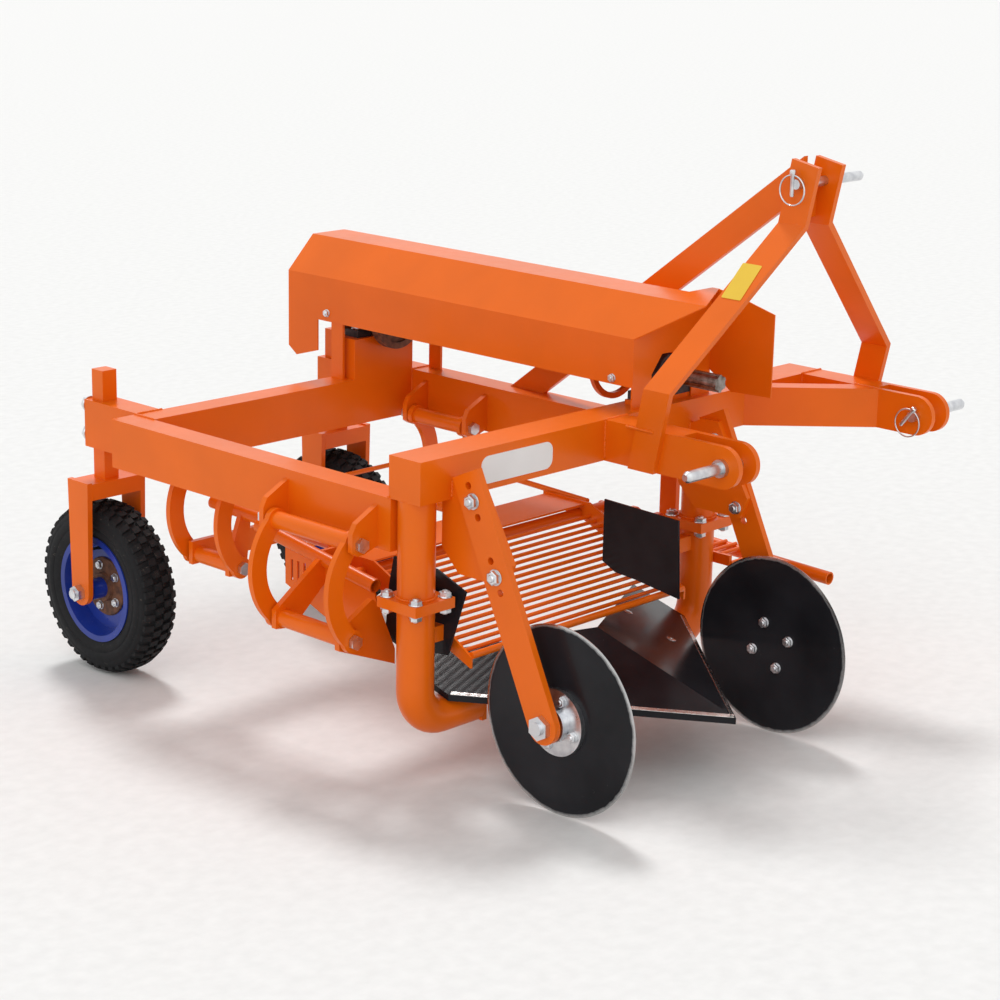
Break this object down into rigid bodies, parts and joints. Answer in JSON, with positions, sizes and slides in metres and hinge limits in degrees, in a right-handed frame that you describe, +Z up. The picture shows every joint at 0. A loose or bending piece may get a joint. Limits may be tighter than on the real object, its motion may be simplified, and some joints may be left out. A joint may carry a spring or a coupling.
{
  "type": "potato digger",
  "caption": "Single-row three-point potato digger with share, two coulter discs, hanging riddle driven by a covered PTO shaft, and two rear gauge wheels.",
  "frame": {"origin": "middle of the outline at ground level, the machine parked on its wheels and discs", "axes": "-Y is the direction of travel (tractor end), +X the machine's left, +Z up"},
  "size_m": [1.3862, 1.6416, 1.1162],
  "materials": {
    "orange": "gloss orange enamel over steel",
    "zinc": "bright zinc plating",
    "black": "gloss black enamel, worn at the edges",
    "rusty_iron": "bare casting with light rust",
    "bare_steel": "machined steel, greased",
    "tyre": "matt black rubber",
    "rim": "blue enamel, rusty at the hub"
  },
  "bodies": {
    "frame": {"front_beam": "orange", "side_beams": "orange", "rear_beam": "orange", "hitch_arms": "orange", "corner_tube": "orange", "mast_legs": "orange", "mast_brace": "orange", "hitch_pins": "zinc", "bearing_seats": "orange", "bearing_blocks": "black", "drive_cover": "orange", "cover_stays": "orange", "share_legs_upper": "orange", "share_legs_lower": "orange", "share": "black", "share_carriers": "orange", "deflectors": "black", "side_guard": "orange", "disc_brackets": "orange", "disc_arms": "orange", "wheel_sleeves": "orange", "wheel_forks": "orange", "wheel_axles": "zinc", "hanger_ears": "orange", "hanger_bolts": "zinc"},
    "shaft": {"drive_shaft": "bare_steel", "shaft_discs": "rusty_iron"},
    "rod": {"eccentric_rod": "orange"},
    "front_right_link": {"link_front_right": "orange"},
    "front_left_link": {"link_front_left": "orange"},
    "rear_right_link": {"link_rear_right": "orange"},
    "rear_left_link": {"link_rear_left": "orange"},
    "riddle": {"riddle_rails": "orange", "riddle_plates": "orange", "riddle_front_bars": "orange", "riddle_lugs": "orange", "riddle_pins": "zinc"},
    "right_disc": {"disc_right": "black", "disc_hub_right": "zinc"},
    "left_disc": {"disc_left": "black", "disc_hub_left": "zinc"},
    "right_wheel": {"tyre_right": "tyre", "wheel_rim_right": "rim"},
    "left_wheel": {"tyre_left": "tyre", "wheel_rim_left": "rim"}
  },
  "joints": [
    {"name": "right_wheel_spin", "type": "hinge", "parent": "frame", "child": "right_wheel", "pos_m": [-0.49115, 0.6348, 0.186], "axis": [1, 0, 0], "continuous": true},
    {"name": "left_wheel_spin", "type": "hinge", "parent": "frame", "child": "left_wheel", "pos_m": [0.16085, 0.6348, 0.186], "axis": [1, 0, 0], "continuous": true},
    {"name": "right_disc_spin", "type": "hinge", "parent": "frame", "child": "right_disc", "pos_m": [-0.47615, -0.6438, 0.177], "axis": [1, 0, 0], "continuous": true},
    {"name": "left_disc_spin", "type": "hinge", "parent": "frame", "child": "left_disc", "pos_m": [0.13985, -0.6438, 0.177], "axis": [1, 0, 0], "continuous": true},
    {"name": "shaft_spin", "type": "hinge", "parent": "frame", "child": "shaft", "pos_m": [0.12385, 0.00959, 0.70142], "axis": [0, 0.9993, 0.0383], "continuous": true},
    {"name": "front_right_link_swing", "type": "hinge", "parent": "frame", "child": "front_right_link", "pos_m": [-0.63015, -0.17684, 0.47411], "axis": [0, 0.9993, 0.0383], "range_deg": [-3.1, 3.1]},
    {"name": "front_left_link_swing", "type": "hinge", "parent": "frame", "child": "front_left_link", "pos_m": [0.29985, -0.17684, 0.47411], "axis": [0, 0.9993, 0.0383], "range_deg": [-3.1, 3.1]},
    {"name": "rear_right_link_swing", "type": "hinge", "parent": "frame", "child": "rear_right_link", "pos_m": [-0.48215, 0.27783, 0.49155], "axis": [0, 0.9993, 0.0383], "range_deg": [-3.1, 3.1]},
    {"name": "rear_left_link_swing", "type": "hinge", "parent": "frame", "child": "rear_left_link", "pos_m": [0.15185, 0.27783, 0.49155], "axis": [0, 0.9993, 0.0383], "range_deg": [-3.1, 3.1]},
    {"name": "riddle_swing", "type": "hinge", "parent": "front_right_link", "child": "riddle", "pos_m": [-0.63015, -0.16967, 0.28725], "axis": [0, 0.9993, 0.0383], "range_deg": [-3.1, 3.1]},
    {"name": "rod_swing", "type": "hinge", "parent": "front_left_link", "child": "rod", "pos_m": [0.29985, -0.25022, 0.69146], "axis": [0, 0.9993, 0.0383], "range_deg": [-3.1, 3.1]}
  ],
  "couplings": [
    {"joint": "front_left_link_swing", "follows": "front_right_link_swing", "ratio": 1},
    {"joint": "rear_right_link_swing", "follows": "front_right_link_swing", "ratio": 1},
    {"joint": "rear_left_link_swing", "follows": "front_right_link_swing", "ratio": 1},
    {"joint": "riddle_swing", "follows": "front_right_link_swing", "ratio": -1},
    {"joint": "rod_swing", "follows": "front_right_link_swing", "ratio": -1}
  ]
}
